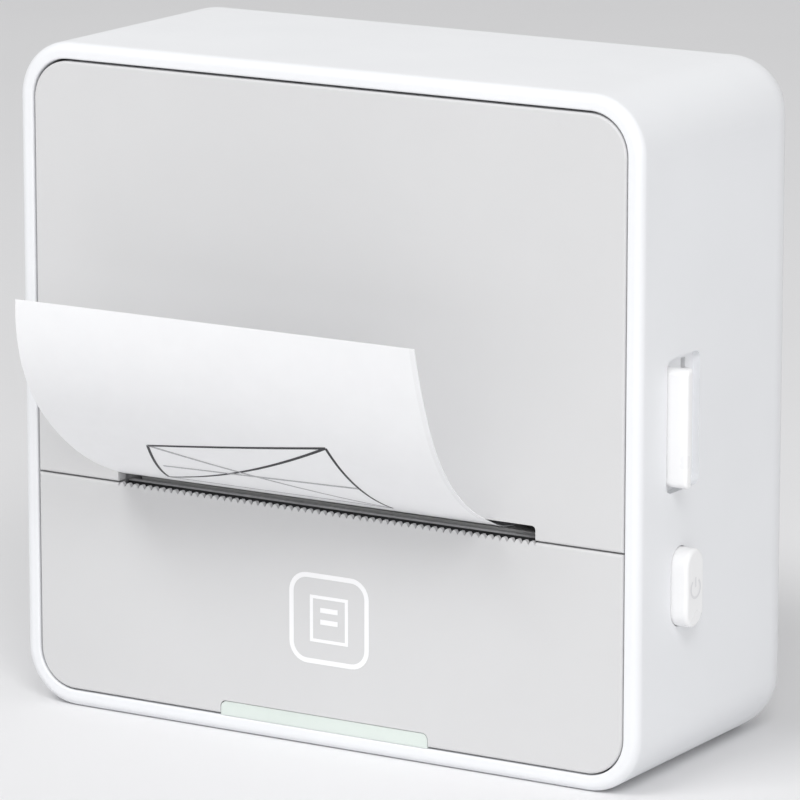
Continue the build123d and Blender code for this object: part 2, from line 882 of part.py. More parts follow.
def make_gear_plate():
    x = gear_plate_limits()
    through = (x[0] - 1, x[1] + 1)
    idler = gear_layout()[:2]
    places = gear_plate_screw_places() + motor_screw_places()
    rims = [Pos(*idler) * Circle(idler_hub_radius)]
    rims += [Pos(y, z) * Circle(screw_head_radius + gear_plate_rim) for y, z in places]
    outline = make_hull([rim.edge() for rim in rims])
    plate = extrude(side_plane(x[0]) * outline, x[1] - x[0], dir=(1, 0, 0))
    plate -= x_rod(motor_collar_radius, through, motor_y, motor_z)
    plate -= x_rod(idler_axle_radius, through, *idler)
    for y, z in places:
        plate -= x_rod(screw_radius, through, y, z)
    return plate


def make_gear_plate_screws():
    left = gear_plate_limits()[0]
    places = gear_plate_screw_places()
    return Compound([screw(left, y, z, (1, 0, 0), standoff_screw_length) for y, z in places])


def make_stepper_motor():
    x = gear_plate_limits()[1]
    can = x_rod(motor_radius, (x, x + motor_length), motor_y, motor_z)
    can = fillet(can.edges().sort_by(Axis.X)[-1], motor_end_round)
    collar = x_rod(motor_collar_radius, (x - motor_collar, x + 0.1), motor_y, motor_z)
    ears = Plane(origin=(x, motor_y, motor_z), x_dir=(0, 1, 0), z_dir=(1, 0, 0)) * Rot(0, 0, motor_ear_turn)
    ear_length = 2 * (motor_radius + motor_ear_reach) + motor_ear_width
    motor = can + collar + extrude(ears * SlotOverall(ear_length, motor_ear_width), motor_flange)
    for y, z in motor_screw_places():
        motor -= x_rod(screw_radius, (x - 1, x + motor_screw_length), y, z)
    bore = (x - 1, x + motor_shaft_depth + 2 * bearing_gap)
    return motor - x_rod(motor_shaft_radius + running_clearance, bore, motor_y, motor_z)


def make_motor_screws():
    left = gear_plate_limits()[0]
    return Compound([screw(left, y, z, (1, 0, 0), motor_screw_length) for y, z in motor_screw_places()])


def make_motor_pinion():
    to_motor = gear_layout()[3]
    x = idler_big_limits()
    turn = to_motor + 180 + 180 / pinion_teeth
    wheel_x = (x[0] - pinion_overhang, x[1] + pinion_overhang)
    wheel = gear(pinion_teeth, wheel_x, motor_y, motor_z, turn, motor_shaft_radius / 2)
    shaft = (x[0] - motor_shaft_end, gear_plate_limits()[1] + motor_shaft_depth)
    return wheel + x_rod(motor_shaft_radius, shaft, motor_y, motor_z)


def web_tangent():
    """Unit normal and direction of the straight paper run from roll to platen."""
    dy, dz = platen_y - roll_y, platen_z - roll_z
    span = math.hypot(dy, dz)
    along = (roll_radius - platen_radius) / span
    aside = math.sqrt(1 - along ** 2)
    normal_y = (dy * along - dz * aside) / span
    normal_z = (dz * along + dy * aside) / span
    return (normal_y, normal_z), (normal_z, -normal_y)


def roll_point(radius):
    """Point at a given radius under the roll, on the normal of the paper run."""
    normal = web_tangent()[0]
    return roll_y + radius * normal[0], roll_z + radius * normal[1]


def side_plane(x):
    return Plane(origin=(x, 0, 0), x_dir=(0, 1, 0), z_dir=(1, 0, 0))


def make_paper_web():
    normal = web_tangent()[0]
    start = roll_point(roll_radius + paper_gap + paper_thickness / 2)
    wrap = platen_radius + paper_gap + paper_thickness / 2
    corner = (platen_y + wrap * normal[0], platen_z + wrap * normal[1])
    start_angle = math.degrees(math.atan2(normal[1], normal[0]))
    arc = CenterArc((platen_y, platen_z), wrap, start_angle, web_end_angle - start_angle)
    return paper_sweep([Line(start, corner), arc])


def paper_sweep(edges):
    """Strip of paper that follows a path of (y, z) edges."""
    path = Wire([side_plane(paper_left) * edge for edge in edges])
    tangent = path % 0
    section = Plane(origin=path @ 0 + Vector(paper_width / 2, 0, 0), x_dir=(1, 0, 0), z_dir=tangent)
    return sweep(section * Rectangle(paper_width, paper_thickness), path=Pos(paper_width / 2, 0, 0) * path)


def strip_side(exit_angle, straight, bends, shift):
    """One side of the strip's profile: over the lip, out of the slot, then up through its bends."""
    lead_y = platen_y - strip_lead
    level = platen_z - platen_radius - paper_gap - paper_thickness / 2 + shift
    lead_radius = (lead_y - front_y) / math.sin(math.radians(exit_angle)) - shift
    edges = [Line((platen_y, level), (lead_y, level)),
             CenterArc((lead_y, level + lead_radius), lead_radius, -90, -exit_angle)]
    tip = edges[-1] @ 1
    heading = Vector(-math.cos(math.radians(exit_angle)), math.sin(math.radians(exit_angle)))
    edges.append(Line(tip, tip + heading * straight))
    angle = exit_angle
    for radius, end_angle in bends:
        tip = edges[-1] @ 1
        reach = radius - shift
        turn = math.radians(angle)
        centre = tip + Vector(math.sin(turn), math.cos(turn)) * reach
        edges.append(CenterArc(centre, reach, -90 - angle, angle - end_angle))
        angle = end_angle
    return edges


def strip_profile(x, exit_angle, straight, bends):
    """Section of the printed strip at one x, as thick as the paper."""
    under = strip_side(exit_angle, straight, bends, -paper_thickness / 2)
    over = strip_side(exit_angle, straight, bends, paper_thickness / 2)
    ends = [Line(under[0] @ 0, over[0] @ 0), Line(under[-1] @ 1, over[-1] @ 1)]
    return side_plane(x) * make_face(under + over + ends)


def make_printed_strip():
    left = strip_profile(paper_left, strip_left_exit_angle, strip_left_straight,
                         [(strip_left_bend_radius, strip_left_bend_angle),
                          (strip_left_tail_radius, strip_left_tail_angle)])
    right = strip_profile(paper_right, strip_right_exit_angle, strip_right_straight,
                          [(strip_right_bend_radius, strip_right_bend_angle),
                           (strip_right_tail_radius, strip_right_tail_angle)])
    return loft([left, right], ruled=True)


def make_paper_roll():
    x = (paper_left, paper_right)
    roll = x_rod(roll_radius, x, roll_y, roll_z)
    return roll - x_rod(roll_core_radius, (x[0] - 1, x[1] + 1), roll_y, roll_z)


def make_roll_core():
    x = (paper_left, paper_right)
    core = x_rod(roll_core_radius, x, roll_y, roll_z)
    return core - x_rod(roll_core_radius - roll_core_wall, (x[0] - 1, x[1] + 1), roll_y, roll_z)


def cheek_outline():
    """Side wall of the roll bay, as (y, z) points."""
    low = deck_top - deck_thickness
    notch_back = platen_y + shaft_radius + notch_back_gap
    notch_low = platen_z - shaft_radius - notch_low_gap
    notch_high = platen_z + shaft_radius + notch_high_gap
    direction = web_tangent()[1]
    ramp_top = roll_point(roll_radius + bay_clearance + bay_wall + cheek_ramp_gap)
    ramp_end_z = ramp_top[1] + (deck_back - ramp_top[0]) * direction[1] / direction[0]
    front = front_y + cheek_setback
    back = inner_back - cheek_back_gap
    top = upper_screw_height + cheek_top_rise
    notch = [(chassis_front, low), (chassis_front, notch_low), (notch_back, notch_low),
             (notch_back, notch_high), (front, notch_high)]
    hinge = [(front, hinge_z - hinge_room_drop), (front + hinge_room_depth, hinge_z - hinge_room_gap)]
    crown = [(roll_y - cheek_top_half, top), (roll_y + cheek_top_half, top),
             (back, upper_screw_height - cheek_shoulder), (back, roll_z - cheek_heel)]
    return notch + hinge + crown + [ramp_top, (deck_back, ramp_end_z), (deck_back, low)]


def bay_profile():
    """Section of the roll bay: an arc behind the roll and a ramp down to the print head."""
    normal, direction = web_tangent()
    inner = roll_radius + bay_clearance
    outer = inner + bay_wall
    start = math.degrees(math.atan2(normal[1], normal[0]))
    sweep_angle = bay_arc_end - start
    arc_in = CenterArc((roll_y, roll_z), inner, start, sweep_angle)
    arc_out = CenterArc((roll_y, roll_z), outer, start, sweep_angle)
    band = make_face([arc_in, Line(arc_in @ 1, arc_out @ 1), arc_out, Line(arc_out @ 0, arc_in @ 0)])
    length = (roll_point(inner)[0] - head_pivot_y - bay_ramp_end) / -direction[0]
    corners = [roll_point(inner), roll_point(outer)]
    far = [(y + direction[0] * length, z + direction[1] * length) for y, z in corners]
    ramp = Polygon(corners[0], corners[1], far[1], far[0], align=None)
    return band + ramp


def make_chassis():
    low = deck_top - deck_thickness
    chassis = extrude(side_plane(-cheek_outer) * bay_profile(), 2 * cheek_outer, dir=(1, 0, 0))
    wing_y = (inner_back - wing_back_gap - wing_length, inner_back - wing_back_gap)
    for side in (-1, 1):
        chassis += side_plate(cheek_outline(), sorted((side * cheek_inner, side * cheek_outer)))
        x = side * case_screw_spread
        wing_x = sorted((side * (cheek_outer - 0.2), x + side * wing_margin))
        for z in (upper_screw_height, roll_z):
            chassis += block(wing_x, wing_y, (z - wing_thickness / 2, z + wing_thickness / 2))
            chassis += y_rod(boss_radius, x, (wing_y[0], inner_back - 0.1), z)
            chassis -= y_rod(pilot_radius, x, (wing_y[0] + boss_floor, inner_back + 1), z)
    chassis += block((-cheek_outer, cheek_outer), (chassis_front, deck_back), (low, deck_top))
    wide = bottom_screw_spread + boss_radius
    wall_y = (chassis_front, chassis_front + chassis_wall)
    chassis += block((-wide, wide), wall_y, (chassis_wall_bottom, deck_top))
    for side in (-1, 1):
        x = side * bottom_screw_spread
        y = front_y + bottom_screw_setback
        boss_top = deck_top - bottom_boss_drop
        chassis += z_rod(boss_radius, x, y, (wall + frame_fit, boss_top))
        chassis -= z_rod(pilot_radius, x, y, (wall, boss_top - boss_floor))
        pin = (deck_top - 0.1, deck_top + head_spring_pin_height)
        chassis += z_rod(head_spring_pin, side * head_spring_spread, spring_y, pin)
    pivot_hole = head_pivot_radius + running_clearance
    chassis -= x_rod(pivot_hole, (-case_width, case_width), head_pivot_y, head_pivot_z)
    for x, z in panel_boss_places():
        chassis -= y_rod(screw_radius, x, (wall_y[0] - 1, wall_y[1] + 1), z)
    for y, z in gear_plate_screw_places():
        chassis += x_rod(standoff_radius, (gear_plate_limits()[1], -cheek_outer + 0.1), y, z)
        chassis -= x_rod(pilot_radius, (gear_plate_limits()[0], -cheek_inner - 0.2), y, z)
    return chassis + slide_rails()


def make_panel_screws():
    y = chassis_front + chassis_wall
    length = chassis_wall + panel_screw_bite
    return Compound([screw(x, y, z, (0, -1, 0), length) for x, z in panel_boss_places()])


def make_case_screws():
    screws = []
    for side in (-1, 1):
        for z in (upper_screw_height, roll_z):
            x = side * case_screw_spread
            screws.append(screw(x, back_y - screw_seat, z, (0, -1, 0), case_screw_length))
        x = side * bottom_screw_spread
        y = front_y + bottom_screw_setback
        screws.append(screw(x, y, screw_seat, (0, 0, 1), case_screw_length))
    return Compound(screws)


def make_head_sink():
    back = head_front + head_depth
    sink = block((-sink_half, sink_half), (head_front, back), (sink_bottom, sink_top))
    for side in (-1, 1):
        x = sorted((side * (sink_half - 0.2), side * (cheek_outer - 0.1)))
        sink += x_rod(head_pivot_radius, x, head_pivot_y, head_pivot_z)
    return sink


def make_print_head():
    half = sink_half - 2 * ceramic_inset
    front = head_front + ceramic_inset
    return block((-half, half), (front, front + ceramic_depth), (sink_top, head_top))


def make_head_springs():
    height = sink_bottom - head_spring_gap - deck_top
    one = spring(head_spring_wire, head_spring_coil, head_spring_turns, height)
    return Compound([Pos(x, spring_y, deck_top) * one for x in (-head_spring_spread, head_spring_spread)])


def make_paper_guide():
    half = cheek_inner - bay_margin
    front = front_y + lip_setback
    top = head_top - lip_drop
    leg_z = (deck_top - lip_leg_overlap, top - lip_thickness / 2)
    leg = block((-half, half), (front, chassis_front - frame_fit), leg_z)
    lip = block((-half, half), (front, front + lip_thickness), (top - lip_height, top))
    return leg + fillet(lip.edges().filter_by(Axis.X).group_by(Axis.Z)[-1], lip_round)


def slide_rails():
    """Rails on the right cheek that guide the release slide and hold its spring."""
    low, high = release_stem_limits()
    x = (cheek_outer - 0.2, inner_x - rail_end_gap)
    back = stem_y + rail_reach
    lower_top = low - slide_below - slide_stop_gap
    upper_bottom = high + slide_above + release_spring_length
    lower = block(x, (stem_y + lower_rail_start, back), (lower_top - rail_thickness, lower_top))
    upper = block(x, (stem_y - upper_rail_start, back), (upper_bottom, upper_bottom + rail_thickness))
    return lower + upper


def make_release_button():
    """Thumb ridge along the front edge of a thin foot, with the stem that goes through the case."""
    bottom = pocket_bottom + release_bar_rise
    top = bottom + release_bar_length
    front = front_y + pocket_front + release_bar_gap
    floor = case_width / 2 - pocket_depth + release_foot_lift
    crest = case_width / 2 + release_bar_proud
    ridge = block((floor, crest), (front, front + release_bar_thickness), (bottom, top))
    ridge = fillet(ridge.edges().filter_by(Axis.X).group_by(Axis.Y)[0], release_bar_corner)
    ridge = fillet(ridge.faces().sort_by(Axis.X)[-1].edges(), release_bar_round)
    foot = side_stadium((front, front + release_foot_width), (bottom, top - release_foot_drop),
                        release_foot_corner, (floor, floor + release_foot_thickness))
    half = release_stem_width / 2
    start = inner_x - slide_gap - slide_thickness + overlap
    return ridge + foot + block((start, floor + 0.2), (stem_y - half, stem_y + half), release_stem_limits())


def make_release_slide():
    low, high = release_stem_limits()
    x = (inner_x - slide_gap - slide_thickness, inner_x - slide_gap)
    top = high + slide_above
    slide = block(x, (stem_y - slide_front, stem_y + slide_back), (low - slide_below, top))
    half = release_stem_width / 2 + stem_seat_fit
    slide -= block((x[0] - 1, x[1] + 1), (stem_y - half, stem_y + half),
                   (low - stem_seat_fit, high + stem_seat_fit))
    slide += block((x[0] - ledge_reach, x[1]), (stem_y - ledge_front, stem_y + slide_back),
                   (top - ledge_thickness, top))
    y, z = lug_corner()
    z -= release_travel + wedge_gap
    start, end, back = y + wedge_start, y + wedge_start + wedge_rise, y + wedge_back
    low, high = z + wedge_start, z + wedge_start + wedge_rise
    foot = z - wedge_drop
    wedge = [(start, foot), (start, low), (end, high), (back, high), (back, foot)]
    return slide + side_plate(wedge, (arm_inner, x[0] + 0.05))


def make_release_spring():
    bottom = release_stem_limits()[1] + slide_above
    coil = spring(release_spring_wire, release_spring_coil, release_spring_turns, release_spring_length)
    return Pos(inner_x - release_spring_inset, stem_y, bottom) * coil


def make_power_button():
    y, z = power_outline()
    inside = inner_x - power_flange_gap
    outer = case_width / 2 + power_proud
    cap = side_stadium(y, z, power_width / 2 - 0.01, (inside - 0.1, outer))
    cap = fillet(cap.faces().sort_by(Axis.X)[-1].edges(), power_round)
    flange_y = (y[0] - power_flange, y[1] + power_flange)
    flange_z = (z[0] - power_flange, z[1] + power_flange)
    flange = side_stadium(flange_y, flange_z, power_width / 2, (inside - power_flange_thickness, inside))
    return cap + flange


def switch_centre():
    """Middle of the power button and its switch, as (y, z)."""
    y, z = power_outline()
    return (y[0] + y[1]) / 2, (z[0] + z[1]) / 2


def make_switch_board():
    return switch_board_space(0)


def make_power_switch():
    y, z = switch_centre()
    half = switch_size / 2
    x = (switch_board_x, switch_board_x + switch_thickness)
    body = block(x, (y - half, y + half), (z - half, z + half))
    body = chamfer(body.edges().filter_by(Axis.X), switch_chamfer)
    return body - x_rod(plunger_radius + running_clearance, (x[0] + switch_floor, x[1] + 1), y, z)


def make_switch_plunger():
    start = switch_board_x + switch_floor + power_travel + plunger_end_gap
    rest = inner_x - power_flange_gap - power_flange_thickness
    return x_rod(plunger_radius, (start, rest), *switch_centre())


def make_main_board():
    board = block((board_left, board_right), (board_front, board_back), (board_bottom, board_top))
    board = fillet(board.edges().filter_by(Axis.Z), board_corner)
    for x, y in board_posts():
        board -= z_rod(screw_radius + screw_clearance, x, y, (board_bottom - 1, board_top + 1))
    return board


def make_board_screws():
    length = board_thickness + board_screw_bite
    return Compound([screw(x, y, board_top, (0, 0, -1), length) for x, y in board_posts()])


def board_part(x, y, height):
    """Block that stands on the main board, between limits of x and y."""
    return block(x, y, (board_top, board_top + height))


def chip(x, size, height):
    """Square package on the middle line of the main board."""
    half = size / 2
    return board_part((x - half, x + half), (board_middle - half, board_middle + half), height)


def make_board_chips():
    processor = chip(processor_x, processor_size, chip_height)
    driver = chip(driver_x, driver_size, chip_height)
    charger = chip(charger_x, charger_size, chip_height)
    coil = chip(coil_x, coil_size, coil_height)
    return Compound([processor, driver, charger, coil])


def make_board_connectors():
    half = head_plug_width / 2
    front = board_front + plug_inset
    head = board_part((-half, half), (front, front + plug_depth), head_plug_height)
    right = board_right - battery_plug_inset
    side = plug_depth / 2
    battery = board_part((right - battery_plug_width, right), (board_middle - side, board_middle + side),
                         battery_plug_height)
    left = board_left + motor_plug_inset
    back = board_back - plug_inset
    motor = board_part((left, left + motor_plug_width), (back - plug_depth, back), motor_plug_height)
    return Compound([head, battery, motor])


def make_charge_socket():
    x = (-inner_x - socket_proud, -inner_x - socket_proud + socket_depth)
    y = (socket_middle - socket_width / 2, socket_middle + socket_width / 2)
    z = (board_top, board_top + socket_height)
    shell = side_stadium(y, z, socket_height / 2 - 0.01, x)
    mouth_y = (y[0] + socket_metal, y[1] - socket_metal)
    mouth_z = (z[0] + socket_metal, z[1] - socket_metal)
    mouth_corner = socket_height / 2 - socket_metal - 0.01
    mouth = side_stadium(mouth_y, mouth_z, mouth_corner, (x[0] - 1, x[1] - socket_back))
    middle = (z[0] + z[1]) / 2
    half = tongue_thickness / 2
    tongue_x = (x[0] + tongue_setback, x[1] - socket_back + 0.2)
    tongue_y = (y[0] + tongue_inset, y[1] - tongue_inset)
    tongue = block(tongue_x, tongue_y, (middle - half, middle + half))
    return shell - mouth + tongue


def make_battery():
    x = (-inner_x + battery_left_room, inner_x - battery_right_room)
    y = (front_y + battery_front_room, inner_back - battery_back_room)
    bottom = wall + battery_gap
    return fillet(block(x, y, (bottom, bottom + battery_thickness)).edges().filter_by(Axis.Y), battery_round)


def make_head_ribbon():
    """Flat cable from the back of the print head down to the main board."""
    start = head_front + head_depth + ribbon_end_gap
    level = sink_bottom + ribbon_bend
    drop = deck_back + ribbon_gap
    turn = deck_top - deck_thickness - ribbon_drop
    plug_y = board_front + plug_inset + plug_depth / 2
    end = (plug_y, board_top + head_plug_height)
    points = [(start, level), (drop, level), (drop, turn), (plug_y, turn), end]
    path = FilletPolyline(*[(0, y, z) for y, z in points], radius=ribbon_bend)
    across = Plane(origin=path @ 0, x_dir=(1, 0, 0), z_dir=path % 0)
    return sweep(across * Rectangle(ribbon_width, ribbon_thickness), path=path, transition=Transition.RIGHT)


PIECES = {
    "outer_shell": make_outer_shell,
    "upper_cover": make_upper_cover,
    "lower_panel": make_lower_panel,
    "light_bar": make_light_bar,
    "light_board": make_light_board,
    "light_leds": make_light_leds,
    "hinge_pins": make_hinge_pins,
    "cover_frame": make_cover_frame,
    "cover_screws": make_cover_screws,
    "platen_bushes": make_platen_bushes,
    "platen_shaft": make_platen_shaft,
    "platen_rubber": make_platen_rubber,
    "platen_gear": make_platen_gear,
    "idler_gear": make_idler_gear,
    "idler_axle": make_idler_axle,
    "gear_plate": make_gear_plate,
    "gear_plate_screws": make_gear_plate_screws,
    "stepper_motor": make_stepper_motor,
    "motor_screws": make_motor_screws,
    "motor_pinion": make_motor_pinion,
    "chassis": make_chassis,
    "panel_screws": make_panel_screws,
    "case_screws": make_case_screws,
    "head_sink": make_head_sink,
    "print_head": make_print_head,
    "head_springs": make_head_springs,
    "head_ribbon": make_head_ribbon,
    "paper_guide": make_paper_guide,
    "paper_roll": make_paper_roll,
    "roll_core": make_roll_core,
    "paper_web": make_paper_web,
    "printed_strip": make_printed_strip,
    "release_button": make_release_button,
    "release_slide": make_release_slide,
    "release_spring": make_release_spring,
    "power_button": make_power_button,
    "power_switch": make_power_switch,
    "switch_plunger": make_switch_plunger,
    "switch_board": make_switch_board,
    "main_board": make_main_board,
    "board_screws": make_board_screws,
    "board_chips": make_board_chips,
    "board_connectors": make_board_connectors,
    "charge_socket": make_charge_socket,
    "battery": make_battery,
}

os.makedirs("parts", exist_ok=True)
for name, make in PIECES.items():
    export_step(make(), f"parts/{name}.step")
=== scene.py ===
import math

import bpy
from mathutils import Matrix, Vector
from mathutils.bvhtree import BVHTree


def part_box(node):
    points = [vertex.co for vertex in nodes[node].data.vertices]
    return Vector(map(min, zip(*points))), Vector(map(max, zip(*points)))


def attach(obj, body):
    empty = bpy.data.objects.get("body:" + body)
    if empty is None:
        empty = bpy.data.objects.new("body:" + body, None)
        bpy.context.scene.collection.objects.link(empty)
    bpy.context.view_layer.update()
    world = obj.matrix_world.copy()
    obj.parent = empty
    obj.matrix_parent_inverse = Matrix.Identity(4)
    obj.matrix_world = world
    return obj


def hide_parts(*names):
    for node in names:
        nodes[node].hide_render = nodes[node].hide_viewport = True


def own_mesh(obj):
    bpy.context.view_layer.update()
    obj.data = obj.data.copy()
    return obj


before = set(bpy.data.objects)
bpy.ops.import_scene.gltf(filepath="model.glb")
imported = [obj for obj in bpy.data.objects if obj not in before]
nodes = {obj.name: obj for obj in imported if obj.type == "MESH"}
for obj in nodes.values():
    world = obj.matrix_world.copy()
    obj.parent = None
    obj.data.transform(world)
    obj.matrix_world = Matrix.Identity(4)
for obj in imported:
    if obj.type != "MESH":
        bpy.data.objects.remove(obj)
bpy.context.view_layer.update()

# Portable thermal printer on its narrow face: materials, marks, printed figure, light and camera.
# Metres, X to the right seen from the front, Y into the depth, Z up.
MM = 0.001

# Camera at the photograph's viewing angle
camera_place = Vector((0.3550, -0.5849, 0.1898))
camera_target = Vector((-0.00165, 0.0006, 0.03875))
camera_lens = 259.2
camera_sensor = 36.0

# Mark on the lower panel, a plain sheet-and-frame sign
mark_middle_x = 0.9 * MM
mark_middle_z = 15.9 * MM
mark_size = 11.2 * MM
mark_line = 0.62 * MM
mark_corner = 2.2 * MM
mark_thickness = 0.02 * MM
sheet_half_width = 0.22 * mark_size
sheet_half_height = 0.24 * mark_size
text_half_width = sheet_half_width * 0.5
text_heights = (0.10 * mark_size, -0.03 * mark_size)

# Printed figure on the sheet, as (x, distance along the paper from the front of the case)
figure_top_left = (-16.9 * MM, 13.9 * MM)
figure_top_right = (8.8 * MM, 16.7 * MM)
figure_low_right = (10.7 * MM, 1.4 * MM)
figure_low_left = (-20.4 * MM, 2.2 * MM)
figure_middle_left = (-17.7 * MM, 8.2 * MM)
figure_middle_right = (9.6 * MM, 8.4 * MM)
ink_line = 0.38 * MM
ink_fine_line = 0.42 * MM
ink_lift = 0.012 * MM
ink_step = 0.6 * MM
profile_back = 3.6 * MM
profile_back_margin = 0.1 * MM
profile_front_margin = 0.4 * MM
profile_step = 0.2 * MM

# Power sign on the face of the power button: a broken ring and a stroke
sign_radius = 1.12 * MM
sign_line = 0.30 * MM
sign_opening = 38.0
sign_stroke_low = 0.15 * MM
sign_stroke_high = 1.35 * MM
sign_steps = 24

# Rendered colours, linear
shell_white = (0.83, 0.84, 0.86)
panel_grey = (0.645, 0.645, 0.650)
light_green = (0.71, 0.775, 0.735)
button_white = (0.90, 0.90, 0.905)
paper_white = (0.875, 0.88, 0.90)
ink_black = (0.022, 0.022, 0.025)
ink_grey = (0.25, 0.25, 0.26)
# Paper guide lip: the near-black is painted shade for the dark gap in the slot; the pale colour is a painted
# highlight on its rounded top edge.
lip_painted_shade = (0.035, 0.035, 0.037)
lip_painted_highlight = (0.74, 0.74, 0.75)
floor_dark = (0.80, 0.80, 0.81)
floor_light = (0.82, 0.82, 0.83)

# Details of the materials
flow_contrast = 0.015
scratch_depth = 0.002 * MM
winding_pitch = 0.24 * MM
paper_glow = 0.5 * MM
# Band along the right edge of the sheet that is painted darker, as painted shade of a slight edge curl.
edge_shade_start = 0.75 * MM
edge_shade_end = 0.60 * MM
# Height band under the lip's top where the painted highlight fades in.
lip_highlight_start = 0.22 * MM
lip_highlight_end = 0.14 * MM

# Surroundings: light from all sides, and what the camera and reflections see
world_strength = 0.46
world_seen = 0.92
floor_reach = 6.0
floor_level = -0.02 * MM
far_clip = 20.0

# Lamps: name, place, width, height, power
lamps = [
    ("key", (-0.38, -1.03, 1.45), 0.9, 0.5, 11.5),
    ("right_fill", (0.80, -1.00, 1.20), 0.6, 0.5, 8.0),
    ("low_fill", (0.50, -0.50, 0.20), 0.30, 0.25, 1.0),
]
lamp_target = (0.0, 0.0, 0.04)


def new_material(name):
    """Empty principled material, its tree, shader and the object's own coordinates."""
    made = bpy.data.materials.new(name)
    made.use_nodes = True
    tree = made.node_tree
    shader = tree.nodes["Principled BSDF"]
    place = tree.nodes.new("ShaderNodeTexCoord").outputs["Object"]
    return made, tree, shader, place


def stretched(tree, place, scale):
    """Coordinates scaled along each axis, for grain that runs one way."""
    mapping = tree.nodes.new("ShaderNodeMapping")
    mapping.inputs["Scale"].default_value = scale
    tree.links.new(place, mapping.inputs["Vector"])
    return mapping.outputs["Vector"]


def noise(tree, place, scale, detail=3.0, roughness=0.55, distortion=0.0):
    """Noise between 0 and 1 over the given coordinates."""
    node = tree.nodes.new("ShaderNodeTexNoise")
    node.inputs["Scale"].default_value = scale
    node.inputs["Detail"].default_value = detail
    node.inputs["Roughness"].default_value = roughness
    node.inputs["Distortion"].default_value = distortion
    tree.links.new(place, node.inputs["Vector"])
    return node.outputs["Fac"]


def between(tree, value, low, high, start=0.3, end=0.7):
    """Maps a value from its own range to another."""
    node = tree.nodes.new("ShaderNodeMapRange")
    node.inputs["From Min"].default_value = start
    node.inputs["From Max"].default_value = end
    node.inputs["To Min"].default_value = low
    node.inputs["To Max"].default_value = high
    tree.links.new(value, node.inputs["Value"])
    return node.outputs["Result"]


def mixed(tree, factor, first, second):
    """Colour between two colours, each a colour or a socket."""
    node = tree.nodes.new("ShaderNodeMix")
    node.data_type = "RGBA"
    tree.links.new(factor, node.inputs["Factor"])
    for value, socket in ((first, node.inputs["A"]), (second, node.inputs["B"])):
        if isinstance(value, tuple):
            socket.default_value = (*value, 1.0)
        else:
            tree.links.new(value, socket)
    return node.outputs["Result"]


def bump(tree, shader, height, depth):
    """Bump from a height between 0 and 1, as deep as the given length."""
    node = tree.nodes.new("ShaderNodeBump")
    node.inputs["Strength"].default_value = 1.0
    node.inputs["Distance"].default_value = depth
    tree.links.new(height, node.inputs["Height"])
    tree.links.new(node.outputs["Normal"], shader.inputs["Normal"])


def shaded(colour, share):
    """The colour made lighter or darker by a share."""
    return tuple(min(1.0, c * share) for c in colour)


def plastic(name, colour, roughness, grain=0.35, depth=0.004, coat=0.0):
    """Moulded plastic: fine spark-eroded grain, faint flow marks and uneven gloss. Grain and depth in mm."""
    made, tree, shader, place = new_material(name)
    flow = noise(tree, place, 38.0, 2.0)
    dark, light = shaded(colour, 1.0 - flow_contrast), shaded(colour, 1.0 + flow_contrast)
    tone = mixed(tree, between(tree, flow, 0.0, 1.0), dark, light)
    tree.links.new(tone, shader.inputs["Base Color"])
    patchy_mask = noise(tree, place, 120.0, 4.0)
    gloss = between(tree, patchy_mask, roughness - 0.05, roughness + 0.05)
    tree.links.new(gloss, shader.inputs["Roughness"])
    shader.inputs["Specular IOR Level"].default_value = 0.4
    shader.inputs["Coat Weight"].default_value = coat
    shader.inputs["Coat Roughness"].default_value = 0.18
    bump(tree, shader, noise(tree, place, 1.0 / (grain * MM), 2.0), depth * MM)
    return made


def metal(name, colour, roughness, run):
    """Rolled or turned metal, its scratches drawn out along the axes where run is small."""
    made, tree, shader, place = new_material(name)
    scratches = noise(tree, stretched(tree, place, run), 900.0, 4.0, 0.65)
    stains = noise(tree, place, 150.0, 3.0)
    tone = mixed(tree, between(tree, stains, 0.0, 1.0), shaded(colour, 0.88), shaded(colour, 1.05))
    tree.links.new(tone, shader.inputs["Base Color"])
    shader.inputs["Metallic"].default_value = 1.0
    tree.links.new(between(tree, scratches, roughness - 0.08, roughness + 0.10), shader.inputs["Roughness"])
    bump(tree, shader, scratches, scratch_depth)
    return made


def rubber(name, colour):
    """Ground silicone rubber, with fine rings round the roller and a little dust."""
    made, tree, shader, place = new_material(name)
    rings = noise(tree, stretched(tree, place, (6.0, 0.4, 0.4)), 700.0, 3.0, 0.6)
    dust = noise(tree, place, 260.0, 5.0, 0.7)
    tone = mixed(tree, between(tree, dust, 0.0, 1.0, 0.45, 0.85), colour, shaded(colour, 1.35))
    tree.links.new(tone, shader.inputs["Base Color"])
    tree.links.new(between(tree, rings, 0.55, 0.75), shader.inputs["Roughness"])
    bump(tree, shader, rings, 0.01 * MM)
    return made


def paper(name, colour, edge):
    """Smooth thermal paper: fine fibres, soft clouding, a faint sheen, and a band along the right edge
    painted darker as painted shade of a slight edge curl.
    """
    made, tree, shader, place = new_material(name)
    fibres = noise(tree, place, 2600.0, 5.0, 0.7, 1.2)
    clouds = noise(tree, place, 240.0, 4.0)
    tone = mixed(tree, between(tree, clouds, 0.0, 1.0), shaded(colour, 0.985), shaded(colour, 1.01))
    across = tree.nodes.new("ShaderNodeSeparateXYZ")
    tree.links.new(place, across.inputs["Vector"])
    # Painted shade: darker band along the sheet's right edge.
    edge_shade = between(tree, across.outputs["X"], 0.0, 1.0, edge - edge_shade_start, edge - edge_shade_end)
    tone = mixed(tree, edge_shade, tone, shaded(colour, 0.93))
    tree.links.new(tone, shader.inputs["Base Color"])
    shader.inputs["Subsurface Weight"].default_value = 0.6
    shader.inputs["Subsurface Radius"].default_value = (1.0, 1.0, 1.0)
    shader.inputs["Subsurface Scale"].default_value = paper_glow
    tree.links.new(between(tree, fibres, 0.42, 0.58), shader.inputs["Roughness"])
    shader.inputs["Specular IOR Level"].default_value = 0.35
    bump(tree, shader, fibres, 0.004 * MM)
    return made


